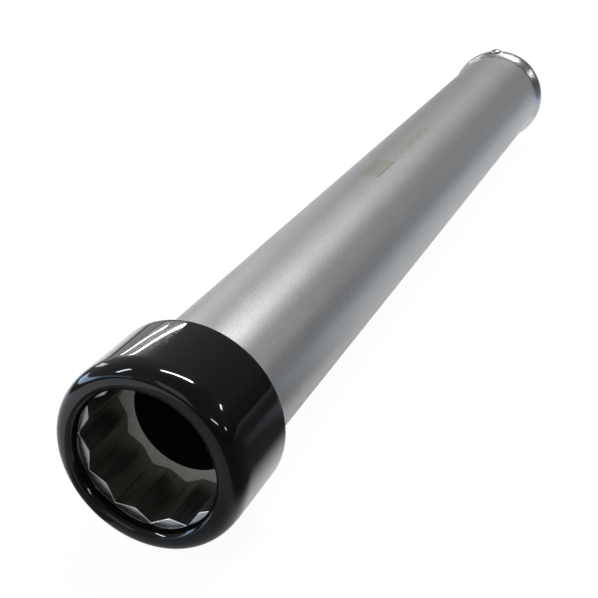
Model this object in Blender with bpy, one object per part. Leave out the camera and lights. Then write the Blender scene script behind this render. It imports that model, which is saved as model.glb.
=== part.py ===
"""Tubular breaker bar: a straight tube with a booted 12-point socket head and a locking square drive end.

The bar lies along X with its socket mouth towards -X, and rests on z = 0. The origin is on that surface,
under the middle of the bar. Lengths below are in millimetres, and MM turns them into Blender's metres.
"Station" is the distance along the bar behind the socket head's flat front face.
"""

import math

import bmesh
import bpy
from mathutils import Matrix, Vector

MM = 0.001
GAP = 0.3

# Driving dimensions
BAR_LENGTH = 335.0
NUT_OPENING = 32.35
TUBE_DIAMETER = 38.1
TUBE_WALL = 2.0
DRIVE_OPENING = 19.3

# Socket head
SOCKET_DEPTH = 17.3
HEAD_DIAMETER = 42.0
HEAD_LENGTH = 19.0
HEAD_HOLE = 28.8
SPIGOT_LENGTH = 32.0
LOBE_RADIUS = 0.8
CUSP_ANGLE = math.radians(24.75)
MOUTH_CHAMFER = 0.4

# Boot
BOOT_DIAMETER = 47.3
BOOT_REAR = 20.5
BOOT_LIP = 2.9
LIP_OPENING = 34.6
LIP_CREST = 44.0
LIP_ROUNDING = 2.0

# End ring, drive plug and lock button
RING_START = 319.1
RING_CREST = 325.4
RING_BULGE = 1.55
RING_BORE = 36.0
PLUG_SPIGOT = 31.0
SQUARE_DEPTH = 26.0
PLUG_BORE = 18.0
BUTTON_TRAVEL = 0.8
BUTTON_DIAMETER = 4.8
BUTTON_TIP = 3.6
BUTTON_FLANGE = 6.0
FLANGE_THICKNESS = 1.0
SPRING_POCKET = 6.6
BUSH_DIAMETER = 8.0
SPRING_WIRE = 0.5
SPRING_TURNS = 4

# Spring pins, one below and one on the +Y side at each end of the tube
PIN_DIAMETER = 4.0
PIN_BORE = 2.4
PIN_SLOT = 0.8
HEAD_PIN_STATION = 33.0
PLUG_PIN_STATION = 300.0
PIN_TURNS = {"lower": math.pi, "side": -math.pi / 2}

# Facets round each turned piece
TURN_STEPS = 72
SMALL_STEPS = 24
HALF_STEP = math.pi / TURN_STEPS

# Worked out from the above
TUBE_RADIUS = TUBE_DIAMETER / 2
TUBE_BORE = TUBE_RADIUS - TUBE_WALL
SPIGOT_RADIUS = TUBE_BORE - GAP
TUBE_START = HEAD_LENGTH + GAP
TUBE_END = RING_START - GAP
BAR_END = BAR_LENGTH - BOOT_LIP
FACE_X = BOOT_LIP - BAR_LENGTH / 2
AXIS_Z = BOOT_DIAMETER / 2 * math.cos(HALF_STEP)
CREST_RADIUS = TUBE_RADIUS + RING_BULGE
NOSE_RADIUS = RING_BORE / 2 - GAP
PLUG_START = TUBE_END - PLUG_SPIGOT
SQUARE_HALF = DRIVE_OPENING / 2
POCKET_FLOOR = SQUARE_HALF + 3.0
BUSH_BOTTOM = RING_BORE / 2
FLANGE_TOP = BUSH_BOTTOM - GAP
FLANGE_BOTTOM = FLANGE_TOP - FLANGE_THICKNESS


def clear_scene():
    for thing in list(bpy.data.objects):
        bpy.data.objects.remove(thing)


def material(name, colour, roughness, metallic):
    made = bpy.data.materials.new(name)
    made.use_nodes = True
    made.diffuse_color = (*colour, 1.0)
    shader = made.node_tree.nodes["Principled BSDF"]
    shader.inputs["Base Color"].default_value = (*colour, 1.0)
    shader.inputs["Roughness"].default_value = roughness
    shader.inputs["Metallic"].default_value = metallic
    return made


def add_object(name, shape, finish, location, smooth=True):
    """Turns a bmesh in millimetres into an object at a place given in millimetres."""
    bmesh.ops.remove_doubles(shape, verts=shape.verts, dist=0.0005)
    bmesh.ops.recalc_face_normals(shape, faces=shape.faces)
    bmesh.ops.scale(shape, vec=Vector((MM, MM, MM)), verts=shape.verts)
    mesh = bpy.data.meshes.new(name)
    shape.to_mesh(mesh)
    shape.free()
    if smooth:
        mesh.shade_smooth()
        mesh.set_sharp_from_angle(angle=math.radians(35))
    if finish:
        mesh.materials.append(finish)
    made = bpy.data.objects.new(name, mesh)
    made.location = Vector(location) * MM
    bpy.context.scene.collection.objects.link(made)
    return made


def turned(outline, axis="X", steps=TURN_STEPS):
    """Turns an outline of (distance along the axis, radius) points. An outline that stays off the axis is
    a closed loop, and one that starts and ends on the axis makes a solid piece."""
    shape = bmesh.new()
    off_axis = min(radius for along, radius in outline) > 0
    corners = []
    for along, radius in outline:
        if axis == "X":
            corners.append(shape.verts.new((along, 0, radius)))
        else:
            corners.append(shape.verts.new((radius, 0, along)))
    pairs = list(zip(corners, corners[1:]))
    if off_axis:
        pairs.append((corners[-1], corners[0]))
    edges = [shape.edges.new(pair) for pair in pairs]
    line = (1, 0, 0) if axis == "X" else (0, 0, 1)
    half_turn = Matrix.Rotation(math.pi / steps, 3, line)
    bmesh.ops.rotate(shape, verts=corners, cent=(0, 0, 0), matrix=half_turn)
    bmesh.ops.spin(
        shape,
        geom=corners + edges,
        cent=(0, 0, 0),
        axis=line,
        angle=math.tau,
        steps=steps,
        use_merge=True,
    )
    return shape


def lofted(outline, stations):
    """Joins copies of a closed (y, z) outline, placed along X. Each station is (x, size of the copy)."""
    shape = bmesh.new()
    rings = []
    for x, size in stations:
        rings.append([shape.verts.new((x, y * size, z * size)) for y, z in outline])
    for near, far in zip(rings, rings[1:]):
        for index in range(len(outline)):
            following = (index + 1) % len(outline)
            shape.faces.new((near[index], near[following], far[following], far[index]))
    shape.faces.new(rings[0])
    shape.faces.new(rings[-1])
    return shape


def arc(centre, radius, start, end, steps):
    """Points on a circular arc. Angles are in degrees."""
    points = []
    for step in range(steps + 1):
        angle = math.radians(start + (end - start) * step / steps)
        points.append((centre[0] + radius * math.cos(angle), centre[1] + radius * math.sin(angle)))
    return points


def rounded_polygon(sides, across_flats, corner_radius, turn=0.0, steps=4):
    """A regular polygon in the (y, z) plane, with rounded corners."""
    half_corner = math.pi / sides
    apex = across_flats / 2 / math.cos(half_corner)
    centre = apex - corner_radius / math.cos(half_corner)
    points = []
    for side in range(sides):
        angle = turn + side * 2 * half_corner
        middle = (centre * math.cos(angle), centre * math.sin(angle))
        degrees = math.degrees(angle)
        spread = math.degrees(half_corner)
        points += arc(middle, corner_radius, degrees - spread, degrees + spread, steps)
    return points


def twelve_point():
    """Two hexagons, one turned 30 degrees: twelve rounded lobes with a sharp cusp between each two."""
    cusp_radius = NUT_OPENING / 2 / math.cos(math.radians(15))
    lobe_apex = NUT_OPENING / math.sqrt(3)
    lobe_centre = lobe_apex - LOBE_RADIUS / math.sin(math.radians(60))
    points = []
    for lobe in range(12):
        cusp = CUSP_ANGLE + math.radians(30) * lobe
        points.append((cusp_radius * math.cos(cusp), cusp_radius * math.sin(cusp)))
        angle = cusp + math.radians(15)
        middle = (lobe_centre * math.cos(angle), lobe_centre * math.sin(angle))
        degrees = math.degrees(angle)
        points += arc(middle, LOBE_RADIUS, degrees - 30, degrees + 30, 4)
    return points


def cut(target, cutter):
    """Takes a guide shape out of a piece with a live Boolean."""
    cutter.display_type = "WIRE"
    cutter.hide_render = True
    taken = target.modifiers.new("cut " + cutter.name, "BOOLEAN")
    taken.operation = "DIFFERENCE"
    taken.solver = "EXACT"
    taken.object = cutter


def round_cutter(name, diameter, low, high, station, turn=0.0):
    """A cylinder that stands out from the bar's axis, from radius low to high, turned about the bar."""
    outline = [(low, 0), (low, diameter / 2), (high, diameter / 2), (high, 0)]
    shape = turned(outline, "Z", SMALL_STEPS)
    cutter = add_object(name, shape, None, (FACE_X + station, 0, AXIS_Z), smooth=False)
    cutter.rotation_euler.x = turn
    return cutter


def pin_holes(name, station, low):
    """Cutters for the spring pins at one end of the tube."""
    diameter = PIN_DIAMETER + 2 * GAP
    high = TUBE_RADIUS + 1
    cutters = []
    for side, turn in PIN_TURNS.items():
        cutters.append(round_cutter(f"{name}_{side}_cutter", diameter, low, high, station, turn))
    return cutters


def handle_tube(steel, holes):
    outline = [
        (0, TUBE_BORE),
        (0, TUBE_RADIUS),
        (TUBE_END - TUBE_START, TUBE_RADIUS),
        (TUBE_END - TUBE_START, TUBE_BORE),
    ]
    tube = add_object("handle_tube", turned(outline), steel, (FACE_X + TUBE_START, 0, AXIS_Z))
    for hole in holes:
        cut(tube, hole)


def socket_head(steel, holes):
    """The ring with the 12-point mouth, and the hollow spigot behind it that fits in the tube."""
    radius = HEAD_DIAMETER / 2
    edge = 0.8
    end = HEAD_LENGTH + SPIGOT_LENGTH
    outline = [
        (0, HEAD_HOLE / 2),
        (0, radius - edge),
        (edge, radius),
        (HEAD_LENGTH - edge, radius),
        (HEAD_LENGTH, radius - edge),
        (HEAD_LENGTH, SPIGOT_RADIUS),
        (end - edge, SPIGOT_RADIUS),
        (end, SPIGOT_RADIUS - edge),
        (end, HEAD_HOLE / 2),
    ]
    head = add_object("socket_head", turned(outline), steel, (FACE_X, 0, AXIS_Z))
    flare = 1 + 2 * MOUTH_CHAMFER / NUT_OPENING
    stations = [(-1, flare), (0, flare), (MOUTH_CHAMFER, 1), (SOCKET_DEPTH, 1)]
    shape = lofted(twelve_point(), stations)
    mouth = add_object("mouth_cutter", shape, None, (FACE_X, 0, AXIS_Z), smooth=False)
    for hole in [mouth, *holes]:
        cut(head, hole)


def end_boot(vinyl):
    """Vinyl boot over the head: a round-edged lip before the mouth, and a step down to the tube behind."""
    radius = BOOT_DIAMETER / 2
    inside = HEAD_DIAMETER / 2 + GAP
    on_tube = TUBE_RADIUS + GAP
    crest = LIP_CREST / 2
    rear_edge = 0.5
    outline = [
        (-GAP, inside),
        (TUBE_START, inside),
        (TUBE_START, on_tube),
        (BOOT_REAR, on_tube),
    ]
    outline += arc((BOOT_REAR - rear_edge, radius - rear_edge), rear_edge, 0, 90, 3)
    for step in range(7):
        turn = math.radians(15 * step)
        along = LIP_ROUNDING - (LIP_ROUNDING + BOOT_LIP) * math.sin(turn)
        outline.append((along, crest + (radius - crest) * math.cos(turn)))
    bead = (BOOT_LIP - GAP) / 2
    outline += arc((-GAP - bead, LIP_OPENING / 2 + bead), bead, 180, 360, 8)
    add_object("end_boot", turned(outline), vinyl, (FACE_X, 0, AXIS_Z))


def end_ring(polished, bush_hole):
    """Bulged ring: starts flush with the tube, swells to its crest and falls again to the bar's end."""
    length = BAR_END - RING_START
    bulge_length = 2 * (RING_CREST - RING_START)
    edge = (length - bulge_length) / 2
    outline = [(0, RING_BORE / 2)]
    steps = 12
    for step in range(steps + 1):
        swell = RING_BULGE * (1 - math.cos(math.tau * step / steps)) / 2
        outline.append((bulge_length * step / steps, TUBE_RADIUS + swell))
    outline.append((length - edge, TUBE_RADIUS - edge / 2))
    outline.append((length, TUBE_RADIUS - edge))
    outline.append((length, RING_BORE / 2))
    ring = add_object("end_ring", turned(outline), polished, (FACE_X + RING_START, 0, AXIS_Z))
    cut(ring, bush_hole)


def drive_plug(steel, holes):
    """Plug with a spigot in the tube, a nose inside the end ring and the square drive hole."""
    length = BAR_END - PLUG_START
    nose = RING_START - PLUG_START
    edge = 0.6
    outline = [
        (0, PLUG_BORE / 2),
        (0, SPIGOT_RADIUS - edge),
        (edge, SPIGOT_RADIUS),
        (nose, SPIGOT_RADIUS),
        (nose, NOSE_RADIUS),
        (length - edge, NOSE_RADIUS),
        (length, NOSE_RADIUS - edge),
        (length, PLUG_BORE / 2),
    ]
    plug = add_object("drive_plug", turned(outline), steel, (FACE_X + PLUG_START, 0, AXIS_Z))
    corner = 0.8
    lead_in = 1.0
    flare = 1 + 2 * lead_in / DRIVE_OPENING
    square = rounded_polygon(4, DRIVE_OPENING, corner, math.pi / 4, 3)
    stations = [(-SQUARE_DEPTH, 1), (-lead_in, 1), (0, flare), (1, flare)]
    place = (FACE_X + BAR_END, 0, AXIS_Z)
    opening = add_object("square_cutter", lofted(square, stations), None, place, smooth=False)
    for hole in [opening, *holes]:
        cut(plug, hole)


def lock_button(polished):
    """Button with a domed top. Pressed in, its tip pushes the drive's ball out of the square hole's wall."""
    radius = BUTTON_DIAMETER / 2
    tip = SQUARE_HALF + BUTTON_TRAVEL
    shoulder = CREST_RADIUS - 0.1
    top = CREST_RADIUS + BUTTON_TRAVEL
    outline = [(tip, 0)]
    outline.append((tip, BUTTON_TIP / 2 - 0.4))
    outline.append((tip + 0.4, BUTTON_TIP / 2))
    outline.append((FLANGE_BOTTOM, BUTTON_TIP / 2))
    outline.append((FLANGE_BOTTOM, BUTTON_FLANGE / 2))
    outline.append((FLANGE_TOP, BUTTON_FLANGE / 2))
    outline.append((FLANGE_TOP, radius))
    outline.append((shoulder, radius))
    for step in range(1, 6):
        turn = math.radians(18 * step)
        outline.append((shoulder + (top - shoulder) * math.sin(turn), radius * math.cos(turn)))
    outline[-1] = (top, 0)
    place = (FACE_X + RING_CREST, 0, AXIS_Z)
    add_object("lock_button", turned(outline, "Z", SMALL_STEPS), polished, place)


def button_bush(steel):
    inner = BUTTON_DIAMETER / 2 + GAP
    outer = BUSH_DIAMETER / 2
    top = CREST_RADIUS - GAP
    outline = [
        (BUSH_BOTTOM, inner),
        (top, inner),
        (top, outer - GAP),
        (top - GAP, outer),
        (BUSH_BOTTOM, outer),
    ]
    shape = turned(outline, "Z", SMALL_STEPS)
    add_object("button_bush", shape, steel, (FACE_X + RING_CREST, 0, AXIS_Z))


def button_spring(steel):
    """Coil spring round the button's tip, between the pocket's floor and the button's flange."""
    wire = SPRING_WIRE / 2
    low = POCKET_FLOOR + GAP + wire
    high = FLANGE_BOTTOM - GAP - wire
    mean_radius = (BUTTON_TIP + SPRING_POCKET) / 4
    steps = SPRING_TURNS * 14
    sides = 6
    shape = bmesh.new()
    rings = []
    for step in range(steps + 1):
        angle = math.tau * SPRING_TURNS * step / steps
        height = low + (high - low) * step / steps
        ring = []
        for side in range(sides):
            turn = math.tau * side / sides
            radius = mean_radius + wire * math.cos(turn)
            place = (radius * math.cos(angle), radius * math.sin(angle), height + wire * math.sin(turn))
            ring.append(shape.verts.new(place))
        rings.append(ring)
    for near, far in zip(rings, rings[1:]):
        for side in range(sides):
            following = (side + 1) % sides
            shape.faces.new((near[side], near[following], far[following], far[side]))
    shape.faces.new(rings[0])
    shape.faces.new(rings[-1])
    add_object("button_spring", shape, steel, (FACE_X + RING_CREST, 0, AXIS_Z))


def spring_pins(name, steel, station, inner_end):
    """Slotted tubular pins, pushed in from outside until they are flush with the tube."""
    edge = 0.3
    outer_end = TUBE_RADIUS - edge
    radius = PIN_DIAMETER / 2
    outline = [
        (inner_end, PIN_BORE / 2),
        (inner_end, radius - edge),
        (inner_end + edge, radius),
        (outer_end - edge, radius),
        (outer_end, radius - edge),
        (outer_end, PIN_BORE / 2),
    ]
    place = (FACE_X + station, 0, AXIS_Z)
    for side, turn in PIN_TURNS.items():
        pin = add_object(f"{name}_{side}", turned(outline, "Z", SMALL_STEPS), steel, place)
        pin.rotation_euler.x = turn
        shape = bmesh.new()
        bmesh.ops.create_cube(shape, size=1)
        bmesh.ops.scale(shape, vec=Vector((PIN_DIAMETER, PIN_SLOT, 2 * TUBE_DIAMETER)), verts=shape.verts)
        bmesh.ops.translate(shape, vec=Vector((PIN_DIAMETER / 2, 0, 0)), verts=shape.verts)
        slot = add_object(f"{name}_{side}_slot_cutter", shape, None, place, smooth=False)
        slot.rotation_euler.x = turn
        cut(pin, slot)


def build():
    clear_scene()
    satin_steel = material("satin_steel", (0.60, 0.60, 0.62), 0.42, 1.0)
    socket_steel = material("socket_steel", (0.62, 0.61, 0.60), 0.35, 1.0)
    drive_steel = material("drive_steel", (0.45, 0.45, 0.46), 0.38, 1.0)
    polished_steel = material("polished_steel", (0.80, 0.80, 0.82), 0.10, 1.0)
    spring_steel = material("spring_steel", (0.30, 0.30, 0.32), 0.35, 1.0)
    gloss_vinyl = material("gloss_vinyl", (0.012, 0.012, 0.013), 0.08, 0.0)

    head_holes = pin_holes("head_pin", HEAD_PIN_STATION, HEAD_HOLE / 2 - 1)
    plug_holes = pin_holes("plug_pin", PLUG_PIN_STATION, PLUG_BORE / 2 - 1)
    tip_size = BUTTON_TIP + 2 * GAP
    bush_size = BUSH_DIAMETER + 2 * GAP
    tip_hole = round_cutter("tip_cutter", tip_size, SQUARE_HALF - 1, POCKET_FLOOR + 1, RING_CREST)
    pocket = round_cutter("pocket_cutter", SPRING_POCKET, POCKET_FLOOR, BUSH_BOTTOM + 1, RING_CREST)
    bush_hole = round_cutter("bush_cutter", bush_size, BUSH_BOTTOM - 1, CREST_RADIUS + 1, RING_CREST)

    handle_tube(satin_steel, head_holes + plug_holes)
    socket_head(socket_steel, head_holes)
    end_boot(gloss_vinyl)
    end_ring(polished_steel, bush_hole)
    drive_plug(drive_steel, [*plug_holes, tip_hole, pocket])
    lock_button(polished_steel)
    button_bush(polished_steel)
    button_spring(spring_steel)
    spring_pins("head_pin", spring_steel, HEAD_PIN_STATION, HEAD_HOLE / 2 + GAP)
    spring_pins("plug_pin", spring_steel, PLUG_PIN_STATION, PLUG_BORE / 2 + GAP)


build()
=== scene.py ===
"""Looks for the tubular breaker bar: fine meshes, procedural finishes, camera, studio light and floor.

The frame is in metres. Small sizes below are in millimetres, and MM turns them into metres. A station is a
distance along the bar, behind the socket head's front face, as in the CAD model.
"""

import math

import bmesh
import bpy
import numpy as np
from mathutils import Matrix, Vector

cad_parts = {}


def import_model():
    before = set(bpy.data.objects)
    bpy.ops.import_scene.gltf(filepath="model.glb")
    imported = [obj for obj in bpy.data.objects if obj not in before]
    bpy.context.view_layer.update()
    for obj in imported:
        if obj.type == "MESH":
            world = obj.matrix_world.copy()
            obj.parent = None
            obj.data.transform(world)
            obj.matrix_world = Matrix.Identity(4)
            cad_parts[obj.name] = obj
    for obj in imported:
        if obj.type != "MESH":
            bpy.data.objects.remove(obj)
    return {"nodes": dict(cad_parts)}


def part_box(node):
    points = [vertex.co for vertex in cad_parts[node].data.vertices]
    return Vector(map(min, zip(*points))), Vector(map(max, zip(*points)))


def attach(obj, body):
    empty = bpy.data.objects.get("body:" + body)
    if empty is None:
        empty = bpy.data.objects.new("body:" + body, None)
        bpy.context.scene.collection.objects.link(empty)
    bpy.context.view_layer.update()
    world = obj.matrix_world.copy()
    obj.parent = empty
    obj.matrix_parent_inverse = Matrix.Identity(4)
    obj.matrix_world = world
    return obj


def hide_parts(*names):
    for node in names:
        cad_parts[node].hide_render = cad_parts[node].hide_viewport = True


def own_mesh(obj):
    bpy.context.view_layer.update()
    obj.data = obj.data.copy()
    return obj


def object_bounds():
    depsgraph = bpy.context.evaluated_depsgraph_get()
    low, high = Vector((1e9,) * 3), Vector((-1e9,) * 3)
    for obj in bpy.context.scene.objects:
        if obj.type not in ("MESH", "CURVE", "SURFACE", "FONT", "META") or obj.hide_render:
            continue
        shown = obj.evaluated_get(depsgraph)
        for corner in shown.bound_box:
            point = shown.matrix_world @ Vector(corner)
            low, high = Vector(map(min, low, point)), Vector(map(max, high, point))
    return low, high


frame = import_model()
CAD_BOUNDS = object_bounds()
MM = 0.001

# Places and sizes read from the frame. A turned CAD piece has 72 flats, so a box reaches its flats only.
CAD_FLATS = 72
FLAT = math.cos(math.pi / CAD_FLATS)


def box_mm(node):
    low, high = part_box(node)
    return np.array(low) / MM, np.array(high) / MM


HEAD_LOW, HEAD_HIGH = box_mm("socket_head")
BOOT_LOW, BOOT_HIGH = box_mm("end_boot")
TUBE_LOW, TUBE_HIGH = box_mm("handle_tube")
RING_LOW, RING_HIGH = box_mm("end_ring")
PLUG_LOW, PLUG_HIGH = box_mm("drive_plug")
BUTTON_LOW, BUTTON_HIGH = box_mm("lock_button")
BUSH_LOW, BUSH_HIGH = box_mm("button_bush")
SPRING_LOW, SPRING_HIGH = box_mm("button_spring")

FACE = HEAD_LOW[0]
AXIS_Z = (BOOT_LOW[2] + BOOT_HIGH[2]) / 2
TUBE_RADIUS = (TUBE_HIGH[2] - TUBE_LOW[2]) / 2 / FLAT
BOOT_RADIUS = (BOOT_HIGH[2] - BOOT_LOW[2]) / 2 / FLAT
HEAD_RADIUS = (HEAD_HIGH[2] - HEAD_LOW[2]) / 2 / FLAT
PLUG_RADIUS = (PLUG_HIGH[1] - PLUG_LOW[1]) / 2 / FLAT
BOOT_FRONT = BOOT_LOW[0] - FACE
BOOT_REAR = BOOT_HIGH[0] - FACE
TUBE_START = TUBE_LOW[0] - FACE
TUBE_END = TUBE_HIGH[0] - FACE
RING_START = RING_LOW[0] - FACE
BAR_END = RING_HIGH[0] - FACE
PLUG_START = PLUG_LOW[0] - FACE
HEAD_END = HEAD_HIGH[0] - FACE
BUTTON_STATION = (BUTTON_LOW[0] + BUTTON_HIGH[0]) / 2 - FACE
BUTTON_TIP = BUTTON_LOW[2] - AXIS_Z
BUTTON_TOP = BUTTON_HIGH[2] - AXIS_Z
BUSH_RADIUS = (BUSH_HIGH[1] - BUSH_LOW[1]) / 2

# Sizes that the boxes don't give, as the CAD model has them
NUT_OPENING = 32.35
SOCKET_DEPTH = 17.3
HEAD_HOLE_RADIUS = 14.4
HEAD_LENGTH = 19.0
TUBE_WALL = 2.0
LOBE_RADIUS = 0.8
CONE_RADIUS = 18.75
CONE_TILT = 13.0
MOUTH_CHAMFER = 0.12
CUSP_ANGLE = 24.75
RING_BULGE = 1.55
RING_BORE_RADIUS = 18.0
DRIVE_OPENING = 19.3
SQUARE_DEPTH = 26.0
PLUG_BORE_RADIUS = 9.0
HEAD_PIN_STATION = 33.0
PLUG_PIN_STATION = 300.0
PIN_HOLE = 4.6
PIN_TURNS = (math.pi, -math.pi / 2)

# The etched panel on the tube, and the fainter row behind it: ranges of station and of distance across
PANEL_STATIONS = (143.0, 160.0)
PANEL_WIDTH = (-4.6, 1.6)
RULE_WIDTH = (-5.1, -4.7)
ROW_STATIONS = (161.0, 200.0)
ROW_WIDTH = (-5.4, -2.6)

# The camera: its place from the middle of the head's face, its facing (azimuth and elevation) and its lens.
# It and the lamps are turned together about the bar by VIEW_TURN. Angles are in degrees.
CAMERA_OFFSET = (-174.56, -108.01, 135.05)
CAMERA_FACING = (22.61, -25.55)
CAMERA_LENS = 65.96
VIEW_TURN = 6.0

# Lamps: name, the directions (azimuth from +X towards +Y, elevation) of their two ends, width in degrees,
# radiance and colour
LAMP_DISTANCE = 2.0
LAMP_AIM = Vector((FACE, 0, AXIS_Z)) * MM
LAMPS = [
    ("lamp_left_high", (28.8, 27.3), (40.6, 15.6), 0.36, 32.0),
    ("lamp_left_low", (36.2, 17.2), (42.4, 7.0), 0.26, 17.5),
    ("glow_left_1", (31.0, 23.0), (42.0, 10.0), 4.0, 0.5),
    ("glow_left_2", (30.0, 25.0), (43.0, 9.0), 9.0, 0.25),
    ("lamp_top", (24.0, 65.0), (-21.8, 48.0), 3.0, 68.0),
    ("lamp_right", (-39.4, 24.5), (-46.3, 24.5), 2.0, 24.0),
    ("lamp_behind_left", (124.0, 32.0), (102.0, 54.0), 3.2, 26.0, (0.82, 0.92, 1.0)),
    ("lamp_behind_right", (-123.0, 29.0), (-105.0, 26.0), 2.4, 20.0),
    ("lamp_far_right", (-80.0, 18.6), (-77.0, 18.6), 3.0, 20.0),
    ("front_soft", (165.0, 30.0), (-165.0, 30.0), 26.0, 0.8),
    ("wall_left", (53.0, 5.0), (61.0, 20.0), 5.0, 3.0),
    ("window", (70.0, 6.0), (124.0, 9.0), 9.0, 4.4, (0.50, 0.74, 1.0)),
    ("window_edge", (124.0, 9.0), (150.0, 9.0), 8.0, 1.6, (0.50, 0.70, 1.0)),
    ("wall_ahead_left", (26.0, 3.0), (48.0, 3.0), 8.0, 0.45),
    ("wall_ahead_right", (-25.0, 3.0), (-8.0, 3.0), 10.0, 0.3),
]

# How bright the floor's painted light is in reflections. Each range is of x from the head's face, of y from
# the bar, or of the distance from the face, and the floor fades from one brightness to another over it.
LEFT_EDGE = (-41.0, -25.0)
FRONT_START = (-20.0, 10.0)
FRONT_SIDE = (46.0, 62.0)
FAR_AWAY = (400.0, 900.0)
RIGHT_START = (60.0, 130.0)
RIGHT_EDGE = (-50.0, -120.0)
RIGHT_FAR = (200.0, 600.0)
COOL_EDGE = (-60.0, -40.0)

# The painted shadow before the boot in those reflections: its middle and its half sizes, in x and y
SHADE_PLACE = (-15.0, 30.0)
SHADE_SIZE = (26.0, 12.0)

SPIGOT_RADIUS = TUBE_RADIUS - TUBE_WALL - 0.3
CREST_RADIUS = TUBE_RADIUS + RING_BULGE
SQUARE_HALF = DRIVE_OPENING / 2
RING_CREST = BUTTON_STATION


# ---------------------------------------------------------------- mesh helpers


def arc(centre, radius, start, end, steps):
    """Points on a circular arc, both ends included. Angles are in degrees."""
    turns = np.radians(np.linspace(start, end, steps + 1))
    return [(centre[0] + radius * math.cos(t), centre[1] + radius * math.sin(t)) for t in turns]


def mesh_object(name, vertices, faces, finishes, sharp=35):
    """A mesh piece from points in millimetres, with its faces turned outwards and shaded smooth."""
    mesh = bpy.data.meshes.new(name)
    mesh.from_pydata((np.asarray(vertices) * MM).tolist(), [], faces)
    shape = bmesh.new()
    shape.from_mesh(mesh)
    bmesh.ops.remove_doubles(shape, verts=shape.verts, dist=1e-7)
    bmesh.ops.recalc_face_normals(shape, faces=shape.faces)
    shape.to_mesh(mesh)
    shape.free()
    mesh.shade_smooth()
    mesh.set_sharp_from_angle(angle=math.radians(sharp))
    for finish in finishes:
        mesh.materials.append(finish)
    made = bpy.data.objects.new(name, mesh)
    bpy.context.scene.collection.objects.link(made)
    return made


def ring_faces(rings, size, loop):
    """Quads between rings of equal size. With loop, the last ring joins the first."""
    faces = []
    pairs = [(i, (i + 1) % rings) for i in range(rings if loop else rings - 1)]
    for near, far in pairs:
        for index in range(size):
            following = (index + 1) % size
            side = (near * size + index, near * size + following)
            faces.append((*side, far * size + following, far * size + index))
    return faces


def bar_points(stations, radii, angles):
    """Points round the bar's axis: x from the station, y and z from the radius and angle."""
    y = radii * np.cos(angles)
    z = radii * np.sin(angles)
    return np.stack([np.broadcast_to(stations, y.shape) + FACE, y, z + AXIS_Z], axis=-1)


def turned(name, outline, finishes, steps, shape=None, sharp=35):
    """A closed outline of (station, radius) turned about the bar. shape may change radii by place."""
    angles = np.arange(steps) * math.tau / steps
    stations = np.array([p[0] for p in outline])[:, None]
    radii = np.array([p[1] for p in outline])[:, None] * np.ones(steps)
    angles = np.broadcast_to(angles, radii.shape)
    if shape:
        radii = shape(stations, radii, angles)
    points = bar_points(stations, radii, angles).reshape(-1, 3)
    faces = ring_faces(len(outline), steps, True)
    return mesh_object(name, points, faces, finishes, sharp)


def upright(name, outline, finishes, steps, shape=None, sharp=35):
    """An outline of (height above the bar's axis, radius) turned about the button's upright axis."""
    angles = np.arange(steps) * math.tau / steps
    solid = outline[0][1] == 0
    heights = np.array([p[0] for p in outline])[:, None] * np.ones(steps)
    radii = np.array([p[1] for p in outline])[:, None] * np.ones(steps)
    x = radii * np.cos(angles)
    y = radii * np.sin(angles)
    if shape:
        heights = shape(heights, x, y)
    points = np.stack([x + FACE + BUTTON_STATION, y, heights + AXIS_Z], axis=-1)
    faces = ring_faces(len(outline), steps, not solid)
    return mesh_object(name, points.reshape(-1, 3), faces, finishes, sharp)


def cutter(shape):
    """An object from a bmesh, to be taken out of a piece."""
    mesh = bpy.data.meshes.new("cutter")
    bmesh.ops.recalc_face_normals(shape, faces=shape.faces)
    shape.to_mesh(mesh)
    shape.free()
    made = bpy.data.objects.new("cutter", mesh)
    bpy.context.scene.collection.objects.link(made)
    return made


def round_cutter(radius, low, high, station, turn=0.0, steps=48):
    """A cylinder that stands out from the bar's axis from radius low to high."""
    shape = bmesh.new()
    place = Matrix.Translation(Vector((FACE + station, 0, AXIS_Z)) * MM) @ Matrix.Rotation(turn, 4, "X")
    place = place @ Matrix.Translation(Vector((0, 0, (low + high) / 2 * MM)))
    size = {"radius1": radius * MM, "radius2": radius * MM, "depth": (high - low) * MM}
    bmesh.ops.create_cone(shape, cap_ends=True, segments=steps, matrix=place, **size)
    return cutter(shape)


def cut(piece, *cutters):
    """Takes the cutters out of a piece, for good, and removes them."""
    for tool in cutters:
        taken = piece.modifiers.new("cut", "BOOLEAN")
        taken.operation = "DIFFERENCE"
        taken.solver = "EXACT"
        taken.object = tool
    bpy.context.view_layer.update()
    graph = bpy.context.evaluated_depsgraph_get()
    mesh = bpy.data.meshes.new_from_object(piece.evaluated_get(graph))
    piece.modifiers.clear()
    old = piece.data
    piece.data = mesh
    mesh.name = piece.name
    bpy.data.meshes.remove(old)
    for tool in cutters:
        bpy.data.meshes.remove(tool.data)


# ---------------------------------------------------------------- materials


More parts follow.
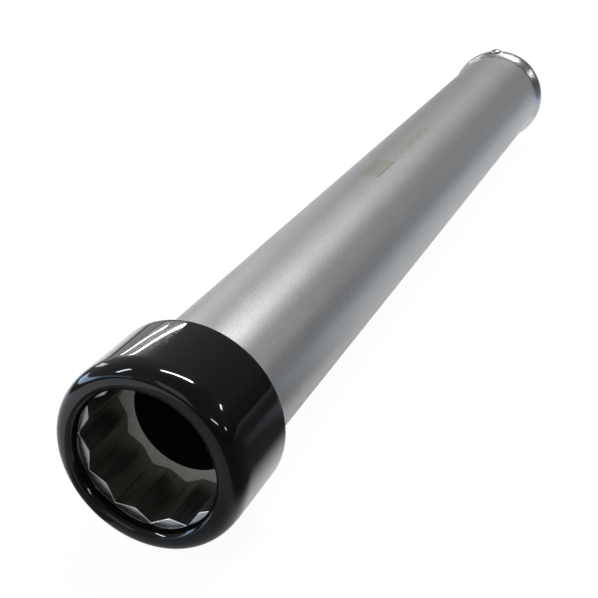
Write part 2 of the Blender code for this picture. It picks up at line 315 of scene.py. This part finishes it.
class Finish:
    """A material's node tree, with short ways to add and join nodes."""

    def __init__(self, name, colour, roughness, metallic):
        self.material = bpy.data.materials.new(name)
        self.material.use_nodes = True
        self.tree = self.material.node_tree
        self.shader = self.tree.nodes["Principled BSDF"]
        self.set("Base Color", (*colour, 1.0))
        self.set("Roughness", roughness)
        self.set("Metallic", metallic)
        place = self.add("ShaderNodeTexCoord").outputs["Object"]
        centred = self.add("ShaderNodeVectorMath", operation="SUBTRACT")
        self.join(place, centred.inputs[0])
        centred.inputs[1].default_value = (FACE * MM, 0, AXIS_Z * MM)
        self.place = centred.outputs[0]

    def set(self, name, value):
        self.shader.inputs[name].default_value = value

    def add(self, kind, **settings):
        made = self.tree.nodes.new(kind)
        for key, value in settings.items():
            setattr(made, key, value)
        return made

    def join(self, source, target):
        self.tree.links.new(source, target)

    def math(self, operation, first, second=0.0, third=0.0):
        """A sum on numbers or sockets."""
        made = self.add("ShaderNodeMath", operation=operation)
        for socket, value in zip(made.inputs, (first, second, third)):
            if isinstance(value, (int, float)):
                socket.default_value = value
            else:
                self.join(value, socket)
        return made.outputs[0]

    def stretched(self, scale):
        """The place on the piece, in metres, stretched by a factor on each axis."""
        made = self.add("ShaderNodeMapping")
        self.join(self.place, made.inputs["Vector"])
        made.inputs["Scale"].default_value = scale
        return made.outputs[0]

    def noise(self, size, detail=2.0, vector=None):
        """Noise whose features are about size millimetres across."""
        made = self.add("ShaderNodeTexNoise")
        self.join(vector or self.place, made.inputs["Vector"])
        made.inputs["Scale"].default_value = 1 / (size * MM)
        made.inputs["Detail"].default_value = detail
        return made.outputs["Fac"]

    def spread(self, value, low, high, to_low, to_high, smooth=False):
        """Carries a range of values over to another range, and clamps at its ends."""
        made = self.add("ShaderNodeMapRange")
        if smooth:
            made.interpolation_type = "SMOOTHSTEP"
        self.join(value, made.inputs["Value"])
        ends = {"From Min": low, "From Max": high, "To Min": to_low, "To Max": to_high}
        for name, number in ends.items():
            made.inputs[name].default_value = number
        return made.outputs["Result"]

    def fade(self, length, ends, start, end, smooth=True):
        """Goes from start to end as a length passes between two lengths in millimetres."""
        return self.spread(length, ends[0] * MM, ends[1] * MM, start, end, smooth)

    def between(self, value, low, high, fade):
        """1 where a length lies between two lengths in millimetres, fading to 0 outside them."""
        rise = self.spread(value, (low - fade) * MM, (low + fade) * MM, 0.0, 1.0)
        fall = self.spread(value, (high - fade) * MM, (high + fade) * MM, 1.0, 0.0)
        return self.math("MULTIPLY", rise, fall)

    def mix(self, share, first, second):
        """A colour mix. Colours are three numbers, or sockets."""
        made = self.add("ShaderNodeMix", data_type="RGBA")
        self.join(share, made.inputs[0])
        for socket, value in zip((made.inputs[6], made.inputs[7]), (first, second)):
            if isinstance(value, tuple):
                socket.default_value = (*value, 1.0)
            else:
                self.join(value, socket)
        return made.outputs[2]

    def parts(self):
        """The x, y and z of the place: from the head's face, and from the bar's axis."""
        made = self.add("ShaderNodeSeparateXYZ")
        self.join(self.place, made.inputs[0])
        return made.outputs

    def radius(self):
        """The distance from the bar's axis."""
        x, y, z = self.parts()
        square = self.math("ADD", self.math("MULTIPLY", y, y), self.math("MULTIPLY", z, z))
        return self.math("SQRT", square)

    def bump(self, height, depth, strength=1.0):
        """Bump from a 0 to 1 height, depth millimetres deep."""
        made = self.add("ShaderNodeBump")
        made.inputs["Strength"].default_value = strength
        made.inputs["Distance"].default_value = depth * MM
        self.join(height, made.inputs["Height"])
        return made.outputs["Normal"]

    def finish(self, colour=None, roughness=None, normal=None):
        """Joins what has been made to the shader and gives the material back."""
        for name, source in (("Base Color", colour), ("Roughness", roughness), ("Normal", normal)):
            if source:
                self.join(source, self.shader.inputs[name])
        return self.material


def etched_mark(made):
    """Shares, from 0 to 1, of the etched panel and row together, and of the dark rule beside the panel."""
    x, y, z = made.parts()
    upper = made.math("GREATER_THAN", z, 0.0)
    panel = made.math("MULTIPLY", made.between(x, *PANEL_STATIONS, 0.4), made.between(y, *PANEL_WIDTH, 0.3))
    row = made.math("MULTIPLY", made.between(x, *ROW_STATIONS, 1.0), made.between(y, *ROW_WIDTH, 0.5))
    rule = made.math("MULTIPLY", made.between(x, *PANEL_STATIONS, 0.4), made.between(y, *RULE_WIDTH, 0.12))
    dashes = made.spread(made.noise(1.6, 2.0, made.stretched((1.4, 0.6, 0.6))), 0.42, 0.56, 0.2, 1.0)
    row = made.math("MULTIPLY", row, dashes)
    panel = made.math("MULTIPLY", panel, made.spread(dashes, 0.2, 1.0, 0.7, 1.15))
    mark = made.math("MULTIPLY", made.math("MAXIMUM", panel, row), upper)
    return mark, made.math("MULTIPLY", rule, upper)


def satin_steel():
    """Blasted steel under a satin bright plating, with a plain etched mark on top."""
    made = Finish("satin_steel", (0.53, 0.53, 0.52), 0.40, 0.78)
    grain = made.noise(0.5, 3.0)
    cloud = made.noise(14.0, 3.0)
    streak = made.noise(1.0, 2.0, made.stretched((0.03, 1.0, 1.0)))
    colour = made.mix(made.spread(cloud, 0.3, 0.7, 0.0, 1.0), (0.523, 0.521, 0.518), (0.549, 0.545, 0.534))
    colour = made.mix(made.spread(grain, 0.38, 0.62, 0.0, 0.5), colour, (0.35, 0.357, 0.368))
    mark, rule = etched_mark(made)
    colour = made.mix(made.math("MULTIPLY", mark, 0.5), colour, (0.37, 0.34, 0.24))
    colour = made.mix(made.math("MULTIPLY", rule, 0.7), colour, (0.13, 0.11, 0.08))
    roughness = made.spread(made.math("ADD", cloud, streak), 0.6, 1.4, 0.385, 0.415)
    return made.finish(colour, roughness, made.bump(grain, 0.06, 0.6))


def gloss_vinyl():
    """Black dipped vinyl under a clear gloss, very slightly wavy."""
    made = Finish("gloss_vinyl", (0.004, 0.004, 0.0045), 0.16, 0.0)
    made.set("IOR", 1.5)
    made.set("Specular IOR Level", 0.04)
    made.set("Coat Weight", 1.0)
    made.set("Coat Roughness", 0.035)
    made.set("Coat IOR", 1.46)
    wave = made.noise(9.0, 1.0)
    fine = made.noise(3.0, 2.0)
    roughness = made.spread(fine, 0.35, 0.75, 0.12, 0.16)
    normal = made.bump(wave, 0.012, 1.0)
    return made.finish(None, roughness, normal)


def socket_bright():
    """The head's plated, ground front face and its outside."""
    made = Finish("socket_bright", (0.93, 0.92, 0.89), 0.33, 1.0)
    grain = made.noise(0.25, 2.0)
    roughness = made.spread(grain, 0.3, 0.7, 0.28, 0.40)
    return made.finish(None, roughness, made.bump(grain, 0.008, 0.5))


def socket_flutes():
    """Broached flutes with draw lines along the bar. Their dark brown-black is partly the steel's tone and
    partly painted shade in the recess.
    """
    made = Finish("socket_flutes", (0.25, 0.23, 0.20), 0.42, 0.9)
    lines = made.noise(0.35, 2.0, made.stretched((0.03, 1.0, 1.0)))
    # The dark tones are partly painted shade in the recessed flutes.
    colour = made.mix(made.spread(lines, 0.35, 0.65, 0.0, 1.0), (0.17, 0.158, 0.138), (0.28, 0.265, 0.235))
    roughness = made.spread(lines, 0.3, 0.7, 0.32, 0.48)
    return made.finish(colour, roughness, made.bump(lines, 0.01, 0.5))


def socket_floor():
    """The shoulder inside the mouth: matt grey, speckled. Its near-white base colour is partly painted
    light, lifting a shoulder that little light reaches.
    """
    made = Finish("socket_floor", (0.85, 0.83, 0.78), 0.6, 0.1)
    speck = made.noise(0.35, 3.0)
    # The near-white tones are partly painted light on the shoulder deep in the mouth.
    colour = made.mix(made.spread(speck, 0.35, 0.65, 0.0, 1.0), (0.74, 0.72, 0.67), (0.98, 0.96, 0.90))
    return made.finish(colour, None, made.bump(speck, 0.02, 0.6))


def dark_bore():
    """The unlit insides of the head and the tube: dark, rough and oxidised."""
    made = Finish("dark_bore", (0.03, 0.028, 0.026), 0.6, 0.6)
    grain = made.noise(0.5, 3.0)
    colour = made.mix(grain, (0.015, 0.014, 0.013), (0.05, 0.046, 0.042))
    return made.finish(colour, None, made.bump(grain, 0.02, 0.5))


def polished_steel():
    """Buffed steel, with soft uneven patches."""
    made = Finish("polished_steel", (0.50, 0.50, 0.51), 0.24, 1.0)
    scuff = made.noise(3.0, 2.0, made.stretched((1.0, 0.2, 0.2)))
    roughness = made.spread(scuff, 0.3, 0.7, 0.26, 0.29)
    return made.finish(None, roughness, made.bump(made.noise(6.0, 1.0), 0.006, 0.4))


def drive_steel():
    """Turned steel: fine rings round the bar's axis."""
    made = Finish("drive_steel", (0.40, 0.40, 0.41), 0.36, 1.0)
    radius = made.radius()
    rings = made.math("SINE", made.math("MULTIPLY", radius, math.tau / (0.25 * MM)))
    cloud = made.noise(3.0, 3.0)
    colour = made.mix(made.spread(cloud, 0.3, 0.7, 0.0, 1.0), (0.34, 0.34, 0.35), (0.46, 0.46, 0.47))
    roughness = made.spread(cloud, 0.3, 0.7, 0.30, 0.42)
    return made.finish(colour, roughness, made.bump(rings, 0.004, 0.6))


def spring_steel():
    """Dark oiled spring steel with a fine grain."""
    made = Finish("spring_steel", (0.28, 0.28, 0.30), 0.34, 1.0)
    grain = made.noise(0.3, 2.0)
    colour = made.mix(grain, (0.20, 0.20, 0.22), (0.34, 0.34, 0.36))
    roughness = made.spread(grain, 0.3, 0.7, 0.28, 0.42)
    return made.finish(colour, roughness, made.bump(grain, 0.005, 0.5))


# ---------------------------------------------------------------- pieces


def handle_tube(steel, inside):
    """The tube, with the four holes of its pins."""
    edge = 0.4
    bore = TUBE_RADIUS - TUBE_WALL
    along = np.linspace(TUBE_START + edge, TUBE_END - edge, 64)
    outline = [(TUBE_START, bore), (TUBE_START, TUBE_RADIUS - edge)]
    outline += [(station, TUBE_RADIUS) for station in along]
    outline += [(TUBE_END, TUBE_RADIUS - edge), (TUBE_END, bore)]
    outline += [(station, bore) for station in along[::-9]]
    tube = turned("tube_body", outline, [steel, inside], 192)
    holes = [
        round_cutter(PIN_HOLE / 2, bore - 2, TUBE_RADIUS + 2, station, turn)
        for station in (HEAD_PIN_STATION, PLUG_PIN_STATION)
        for turn in PIN_TURNS
    ]
    cut(tube, *holes)
    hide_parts("handle_tube")
    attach(tube, "bar")


def boot(vinyl):
    """The boot: straight skirt, tight outer corner, a front that is round all the way to the mouth."""
    inside = HEAD_RADIUS + 0.1
    on_tube = TUBE_RADIUS + 0.05
    crest = 19.6
    front = -3.93
    start = 2.3
    power = 2.7
    lip = 17.65
    bead = 1.45
    outline = [(0.0, inside), (TUBE_START, inside), (TUBE_START, on_tube), (BOOT_REAR, on_tube)]
    outline += [(BOOT_REAR, (on_tube + BOOT_RADIUS) / 2)]
    outline += arc((BOOT_REAR - 0.4, BOOT_RADIUS - 0.4), 0.4, 0, 90, 6)
    outline += [(station, BOOT_RADIUS) for station in np.linspace(BOOT_REAR - 1.5, start + 1, 10)]
    for turn in np.radians(np.linspace(0, 90, 25)):
        along = start - (start - front) * math.sin(turn) ** (2 / power)
        outline.append((along, crest + (BOOT_RADIUS - crest) * math.cos(turn) ** (2 / power)))
    for turn in np.radians(np.linspace(90, 0, 17))[1:]:
        outline.append((-bead - (-bead - front) * math.sin(turn), crest - (crest - lip) * math.cos(turn)))
    outline += arc((-bead, lip + bead), bead, 270, 360, 8)[1:]

    def slack(stations, radii, angles):
        """The soft lip sits a little off centre and isn't quite round."""
        share = np.clip((crest + 1 - radii) / (crest + 1 - lip), 0, 1) * (stations < 0)
        angles = angles - math.radians(VIEW_TURN)
        waves = 0.10 * np.cos(3 * angles + 0.6) + 0.07 * np.cos(5 * angles + 2.1)
        pull = 0.4 * np.exp(-(((angles - math.radians(65)) / math.radians(18)) ** 2))
        return radii + share * (0.45 * np.cos(angles) - 0.50 * np.sin(angles) + waves + pull)

    made = turned("boot_skin", outline, [vinyl], 192, slack)
    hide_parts("end_boot")
    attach(made, "bar")


def mouth_outline():
    """Angles (radians) and radii of the 12-point mouth: worn cusps, straight flats and round lobes."""
    lobe_centre = NUT_OPENING / math.sqrt(3) - LOBE_RADIUS / math.sin(math.radians(60))
    near_cusp = ((-0.8, 0.0), (-0.3, 0.06), (0.3, 0.06), (0.8, 0.0), (3.0, 0.0), (6.0, 0.0), (10.0, 0.0))
    points = []

    def flat(cusp, offset, wear=0.0):
        """Adds a point at an angle from a cusp: on its flats, or outside them by the wear."""
        radius = NUT_OPENING / 2 / math.cos(math.radians(15 + abs(offset))) + wear
        turn = math.radians(cusp + offset)
        points.append((radius * math.cos(turn), radius * math.sin(turn)))

    for lobe in range(12):
        cusp = CUSP_ANGLE + 30 * lobe
        for offset, wear in near_cusp:
            flat(cusp, offset, wear)
        middle = math.radians(cusp + 15)
        centre = (lobe_centre * math.cos(middle), lobe_centre * math.sin(middle))
        points += arc(centre, LOBE_RADIUS, cusp - 12, cusp + 42, 10)
        for offset in (-10.0, -6.0, -3.0):
            flat(cusp + 30, offset)
    points = np.array(points)
    return np.unwrap(np.arctan2(points[:, 1], points[:, 0])), np.hypot(points[:, 0], points[:, 1])


def socket_head(bright, flutes, floor, bore):
    """The head. Its face dishes slightly towards the mouth, whose edge is broken by a small chamfer.

    Each ring is a station, the radii round it, and the finish number of the faces up to the next ring.
    """
    angles, mouth = mouth_outline()
    whole = np.ones(len(angles))
    rear_edge = 0.8
    hole = HEAD_HOLE_RADIUS
    lead_in = (CONE_RADIUS - MOUTH_CHAMFER - mouth) * math.tan(math.radians(CONE_TILT))
    shares = (0.8, 0.6, 0.4, 0.2, 0.06)
    rings = [(HEAD_END, hole * whole, 3)]
    rings += [(station, hole * whole, 3) for station in (44, 36, 28, 22)]
    rings += [(SOCKET_DEPTH + 0.12, hole * whole, 2), (SOCKET_DEPTH, (hole + 0.12) * whole, 2)]
    rings += [(SOCKET_DEPTH, mouth, 1)]
    wall_start = lead_in + MOUTH_CHAMFER
    rings += [(wall_start + (SOCKET_DEPTH - wall_start) * share, mouth, 1) for share in shares]
    rings += [(wall_start, mouth, 0), (lead_in, mouth + MOUTH_CHAMFER, 0), (0.0, CONE_RADIUS * whole, 0)]
    rings += [(0.0, (HEAD_RADIUS - rear_edge) * whole, 0), (rear_edge, HEAD_RADIUS * whole, 0)]
    rings += [(HEAD_LENGTH - rear_edge, HEAD_RADIUS * whole, 0)]
    rings += [(HEAD_LENGTH, (HEAD_RADIUS - rear_edge) * whole, 0), (HEAD_LENGTH, SPIGOT_RADIUS * whole, 0)]
    rings += [(HEAD_END - rear_edge, SPIGOT_RADIUS * whole, 0)]
    rings += [(HEAD_END, (SPIGOT_RADIUS - rear_edge) * whole, 3)]
    points = np.concatenate([bar_points(s * whole, r, angles) for s, r, slot in rings])
    faces = ring_faces(len(rings), len(angles), True)
    head = mesh_object("socket_body", points, faces, [bright, flutes, floor, bore], 24)
    slots = np.repeat([slot for s, r, slot in rings], len(angles))
    head.data.polygons.foreach_set("material_index", slots)
    holes = [
        round_cutter(PIN_HOLE / 2, hole - 2, SPIGOT_RADIUS + 2, HEAD_PIN_STATION, turn)
        for turn in PIN_TURNS
    ]
    cut(head, *holes)
    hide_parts("socket_head")
    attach(head, "bar")


def bulge(station):
    """The end ring's outside radius at a station."""
    share = (station - RING_START) / (2 * (RING_CREST - RING_START))
    return TUBE_RADIUS + RING_BULGE * (1 - math.cos(math.tau * min(share, 1))) / 2


def end_ring(polished):
    """The bulged ring, with the hole for the button's bush."""
    last = RING_START + 2 * (RING_CREST - RING_START)
    outline = [(RING_START, RING_BORE_RADIUS), (RING_START, TUBE_RADIUS - 0.15)]
    outline += [(station, bulge(station)) for station in np.linspace(RING_START + 0.1, last, 48)]
    outline += arc((last, TUBE_RADIUS - (BAR_END - last)), BAR_END - last, 90, 0, 5)[1:]
    outline += [(BAR_END, RING_BORE_RADIUS)]
    outline += [(station, RING_BORE_RADIUS) for station in np.linspace(BAR_END, RING_START, 6)[1:-1]]
    ring = turned("ring_body", outline, [polished], 256)
    hole = BUSH_RADIUS + 0.12
    cut(ring, round_cutter(hole, RING_BORE_RADIUS - 2, CREST_RADIUS + 2, BUTTON_STATION, steps=96))
    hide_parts("end_ring")
    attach(ring, "bar")


def drive_plug(steel):
    """The plug: its square hole, the button's pocket and tip hole, and the holes of its pins."""
    edge = 0.6
    outline = [(PLUG_START, PLUG_BORE_RADIUS), (PLUG_START, SPIGOT_RADIUS - edge)]
    outline += [(PLUG_START + edge, SPIGOT_RADIUS), (RING_START, SPIGOT_RADIUS), (RING_START, PLUG_RADIUS)]
    outline += [(BAR_END - edge, PLUG_RADIUS), (BAR_END - 0.2, PLUG_RADIUS - 0.25)]
    outline += [(BAR_END, radius) for radius in np.linspace(PLUG_RADIUS - edge, PLUG_BORE_RADIUS, 8)]
    plug = turned("plug_body", outline, [steel], 144)
    lead_in = 1.0
    square = square_cutter([(-SQUARE_DEPTH, 0), (-lead_in, 0), (0, lead_in), (1, 2 * lead_in)])
    holes = [
        round_cutter(PIN_HOLE / 2, PLUG_BORE_RADIUS - 2, SPIGOT_RADIUS + 2, PLUG_PIN_STATION, turn)
        for turn in PIN_TURNS
    ]
    tip = round_cutter(2.1, SQUARE_HALF - 1, SQUARE_HALF + 4, BUTTON_STATION)
    pocket = round_cutter(3.3, SQUARE_HALF + 3, PLUG_RADIUS + 2, BUTTON_STATION)
    cut(plug, square, tip, pocket, *holes)
    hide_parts("drive_plug")
    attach(plug, "bar")


def square_cutter(stations):
    """A square prism with rounded corners. Each station is (x from the bar's end, extra half-width)."""
    shape = bmesh.new()
    rings = []
    corner = 0.8
    for along, extra in stations:
        half = SQUARE_HALF + extra
        ring = []
        for quarter in range(4):
            turn = 45 + 90 * quarter
            reach = (half - corner) * math.sqrt(2)
            middle = (reach * math.cos(math.radians(turn)), reach * math.sin(math.radians(turn)))
            ring += arc(middle, corner, turn - 45, turn + 45, 6)
        place = Vector((FACE + BAR_END + along, 0, AXIS_Z))
        rings.append([shape.verts.new((place + Vector((0, y, z))) * MM) for y, z in ring])
    for near, far in zip(rings, rings[1:]):
        for index in range(len(near)):
            following = (index + 1) % len(near)
            shape.faces.new((near[index], near[following], far[following], far[index]))
    shape.faces.new(rings[0])
    shape.faces.new(rings[-1])
    return cutter(shape)


def lock_button(polished):
    """The button: a tip that reaches the square, a flange for the spring, and a dome on top."""
    radius = 2.4
    stem = 1.8
    flange = (BUTTON_HIGH[1] - BUTTON_LOW[1]) / 2
    flange_top = RING_BORE_RADIUS - 0.3
    shoulder = CREST_RADIUS - 0.15
    outline = [(BUTTON_TIP, 0), (BUTTON_TIP, stem - 0.4), (BUTTON_TIP + 0.4, stem), (flange_top - 1, stem)]
    outline += [(flange_top - 1, flange), (flange_top, flange), (flange_top, radius), (shoulder, radius)]
    for turn in np.radians(np.linspace(0, 90, 13))[1:]:
        outline.append((shoulder + (BUTTON_TOP - shoulder) * math.sin(turn), radius * math.cos(turn)))
    button = upright("button_body", outline, [polished], 64)
    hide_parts("lock_button")
    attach(button, "button")


def button_bush(polished):
    """The collar round the button. Its top follows the ring's bulge."""
    inner = 2.75
    outer = BUSH_RADIUS
    top = CREST_RADIUS
    outline = [(RING_BORE_RADIUS, inner), (top - 0.25, inner), (top - 0.02, inner + 0.25)]
    outline += [(top, radius) for radius in np.linspace(inner + 0.4, outer - 0.25, 4)]
    outline += [(top - 0.2, outer), (RING_BORE_RADIUS, outer)]

    def follow(heights, x, y):
        """Lowers the bush's top to the ring's surface."""
        drop = np.array([CREST_RADIUS - bulge(RING_CREST + along) for along in x.ravel()]).reshape(x.shape)
        drop = drop + CREST_RADIUS - np.sqrt(CREST_RADIUS**2 - y**2)
        return np.where(heights > RING_BORE_RADIUS + 1, heights - drop, heights)

    bush = upright("bush_body", outline, [polished], 96, follow)
    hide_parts("button_bush")
    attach(bush, "bar")


def button_spring(steel):
    """The coil under the button's flange."""
    wire = 0.25
    low = SPRING_LOW[2] - AXIS_Z + wire
    high = SPRING_HIGH[2] - AXIS_Z - wire
    mean = (SPRING_HIGH[0] - SPRING_LOW[0]) / 2 - wire
    turns = 4
    steps = turns * 32
    sides = 10
    angles = np.linspace(0, math.tau * turns, steps + 1)[:, None]
    heights = np.linspace(low, high, steps + 1)[:, None]
    around = np.arange(sides) * math.tau / sides
    radii = mean + wire * np.cos(around)
    x = radii * np.cos(angles) + FACE + BUTTON_STATION
    y = radii * np.sin(angles)
    z = heights + wire * np.sin(around) + AXIS_Z
    points = np.stack([x, y, z], axis=-1).reshape(-1, 3)
    faces = ring_faces(steps + 1, sides, False)
    faces.append(tuple(range(sides)))
    faces.append(tuple(steps * sides + side for side in range(sides)))
    coil = mesh_object("spring_coil", points, faces, [steel])
    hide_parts("button_spring")
    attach(coil, "bar")
    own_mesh(coil)


def spring_pins(steel):
    """The four pins keep their CAD shape and take the fine finish."""
    for name in ("head_pin_lower", "head_pin_side", "plug_pin_lower", "plug_pin_side"):
        pin = frame["nodes"][name]
        pin.data.shade_smooth()
        pin.data.set_sharp_from_angle(angle=math.radians(35))
        pin.data.materials.clear()
        pin.data.materials.append(steel)


# ---------------------------------------------------------------- camera, light and floor


def towards(azimuth, elevation):
    """A direction from its azimuth, from +X towards +Y, and its elevation, in degrees, before the turn."""
    turn = math.radians(azimuth)
    lift = math.radians(elevation)
    return Vector((math.cos(lift) * math.cos(turn), math.cos(lift) * math.sin(turn), math.sin(lift)))


def view_turn():
    """The turn about the bar that the camera and the lamps share."""
    return Matrix.Rotation(math.radians(VIEW_TURN), 3, "X")


def camera():
    """The camera, near the socket end and looking along the bar."""
    view = bpy.data.cameras.new("view")
    view.sensor_width = 36.0
    view.lens = CAMERA_LENS
    view.clip_start = 0.01
    made = bpy.data.objects.new("view", view)
    bpy.context.scene.collection.objects.link(made)
    offset = view_turn() @ Vector(CAMERA_OFFSET)
    made.location = (Vector((FACE, 0, AXIS_Z)) + offset) * MM
    facing = towards(*CAMERA_FACING).to_track_quat("-Z", "Y").to_matrix()
    made.rotation_euler = (view_turn() @ facing).to_euler()
    bpy.context.scene.camera = made


def lamp(name, start, end, width, radiance, colour=(1, 1, 1)):
    """A rectangular light whose long side runs between two directions seen from the socket end."""
    ends = [view_turn() @ towards(*point) * LAMP_DISTANCE for point in (start, end)]
    middle = (ends[0] + ends[1]) / 2
    light = bpy.data.lights.new(name, "AREA")
    light.shape = "RECTANGLE"
    light.size = (ends[1] - ends[0]).length
    light.size_y = 2 * LAMP_DISTANCE * math.tan(math.radians(width / 2))
    light.energy = radiance * math.pi * light.size * light.size_y
    light.color = colour
    made = bpy.data.objects.new(name, light)
    bpy.context.scene.collection.objects.link(made)
    long_side = (ends[1] - ends[0]).normalized()
    back = middle.normalized()
    back = (back - long_side * back.dot(long_side)).normalized()
    turn = Matrix((long_side, back.cross(long_side), back)).transposed()
    made.matrix_world = Matrix.Translation(middle + LAMP_AIM) @ turn.to_4x4()


def world():
    """A dim grey studio, darkest near the horizon and on the bar's right."""
    made = bpy.data.worlds.new("studio")
    made.use_nodes = True
    tree = made.node_tree
    background = tree.nodes["Background"]
    coordinates = tree.nodes.new("ShaderNodeTexCoord")
    split = tree.nodes.new("ShaderNodeSeparateXYZ")
    ramp = tree.nodes.new("ShaderNodeValToRGB")
    tree.links.new(coordinates.outputs["Generated"], split.inputs[0])
    tree.links.new(split.outputs["Z"], ramp.inputs["Fac"])
    tree.links.new(ramp.outputs["Color"], background.inputs["Color"])
    side = tree.nodes.new("ShaderNodeMapRange")
    tree.links.new(split.outputs["Y"], side.inputs["Value"])
    ends = {"From Min": -0.5, "From Max": 0.2, "To Min": 0.6, "To Max": 1.2}
    for name, number in ends.items():
        side.inputs[name].default_value = number
    tree.links.new(side.outputs["Result"], background.inputs["Strength"])
    stops = ramp.color_ramp.elements
    stops[0].position = 0.0
    stops[1].position = 1.0
    stops.new(0.12)
    stops.new(0.35)
    for stop, shade in zip(stops, (0.08, 0.11, 0.23, 0.18)):
        stop.color = (shade, shade, shade, 1)
    bpy.context.scene.world = made


def floor_light(paper):
    """How bright the floor's painted light is in reflections, 0 to 1: bright on the left, and further along
    on the right.
    """
    x, y, z = paper.parts()
    left = paper.fade(y, LEFT_EDGE, 0.0, 1.0)
    front = paper.fade(x, FRONT_START, 1.0, 0.0, smooth=False)
    change = paper.fade(y, FRONT_SIDE, -0.65, 0.9, smooth=False)
    left = paper.math("MULTIPLY", left, paper.math("MULTIPLY_ADD", front, change, 1.0))
    distance = paper.add("ShaderNodeVectorMath", operation="LENGTH")
    paper.join(paper.place, distance.inputs[0])
    left = paper.math("MULTIPLY", left, paper.fade(distance.outputs["Value"], FAR_AWAY, 1.0, 0.4))
    along = paper.fade(x, RIGHT_START, 0.0, 0.8)
    close = paper.fade(y, RIGHT_EDGE, 1.0, 0.0)
    distant = paper.fade(x, RIGHT_FAR, 0.0, 0.2)
    right = paper.math("MULTIPLY", along, paper.math("MAXIMUM", close, distant))
    return paper.math("MULTIPLY", paper.math("MAXIMUM", left, right), boot_shade(paper))


def boot_shade(paper):
    """A factor that darkens an ellipse on the floor before the boot: a painted shadow in reflections."""
    centred = paper.add("ShaderNodeMapping", vector_type="TEXTURE")
    paper.join(paper.place, centred.inputs["Vector"])
    centred.inputs["Location"].default_value = (SHADE_PLACE[0] * MM, SHADE_PLACE[1] * MM, 0)
    centred.inputs["Scale"].default_value = (SHADE_SIZE[0] * MM, SHADE_SIZE[1] * MM, 1000.0)
    away = paper.add("ShaderNodeVectorMath", operation="LENGTH")
    paper.join(centred.outputs[0], away.inputs[0])
    return paper.spread(away.outputs["Value"], 0.95, 1.15, 0.15, 1.0, smooth=True)


def floor_paper():
    """White paper. The camera sees it evenly white, and reflections see painted light on it in parts and a
    painted shadow before the boot.
    """
    paper = Finish("floor_paper", (0.1, 0.1, 0.1), 0.9, 0.0)
    paper.set("Specular IOR Level", 0.0)
    paper.set("Emission Strength", 1.0)
    bright = floor_light(paper)
    x, y, z = paper.parts()
    cool = paper.fade(y, COOL_EDGE, 1.0, 0.0, smooth=False)
    lit_base = paper.mix(cool, (0.8, 0.8, 0.8), (0.70, 0.79, 0.92))
    lit_glow = paper.mix(cool, (0.24, 0.24, 0.24), (0.21, 0.24, 0.28))
    # Painted light and shadow: in reflections the floor's base colour and glow follow floor_light.
    base = paper.mix(bright, (0.06, 0.06, 0.06), lit_base)
    glow = paper.mix(bright, (0.04, 0.04, 0.04), lit_glow)
    seen = paper.add("ShaderNodeLightPath").outputs["Is Camera Ray"]
    paper.join(paper.mix(seen, base, (0.1, 0.1, 0.1)), paper.shader.inputs["Base Color"])
    paper.join(paper.mix(seen, glow, (0.95, 0.95, 0.95)), paper.shader.inputs["Emission Color"])
    return paper.material


def floor():
    """The white floor under the bar."""
    mesh = bpy.data.meshes.new("floor")
    reach = 6.0
    corners = [(-reach, -reach, 0), (reach, -reach, 0), (reach, reach, 0), (-reach, reach, 0)]
    mesh.from_pydata(corners, [], [(0, 1, 2, 3)])
    made = bpy.data.objects.new("floor", mesh)
    bpy.context.scene.collection.objects.link(made)
    made.location.z = CAD_BOUNDS[0][2] - 0.0002
    mesh.materials.append(floor_paper())


def build():
    """Makes every finish and piece, then the light and the floor."""
    camera()
    vinyl = gloss_vinyl()
    polished = polished_steel()
    spring = spring_steel()
    bore = dark_bore()
    handle_tube(satin_steel(), bore)
    boot(vinyl)
    socket_head(socket_bright(), socket_flutes(), socket_floor(), bore)
    end_ring(polished)
    drive_plug(drive_steel())
    lock_button(polished)
    button_bush(polished)
    button_spring(spring)
    spring_pins(spring)
    world()
    floor()
    for row in LAMPS:
        lamp(*row)
    bpy.context.scene.view_settings.view_transform = "Standard"


build()
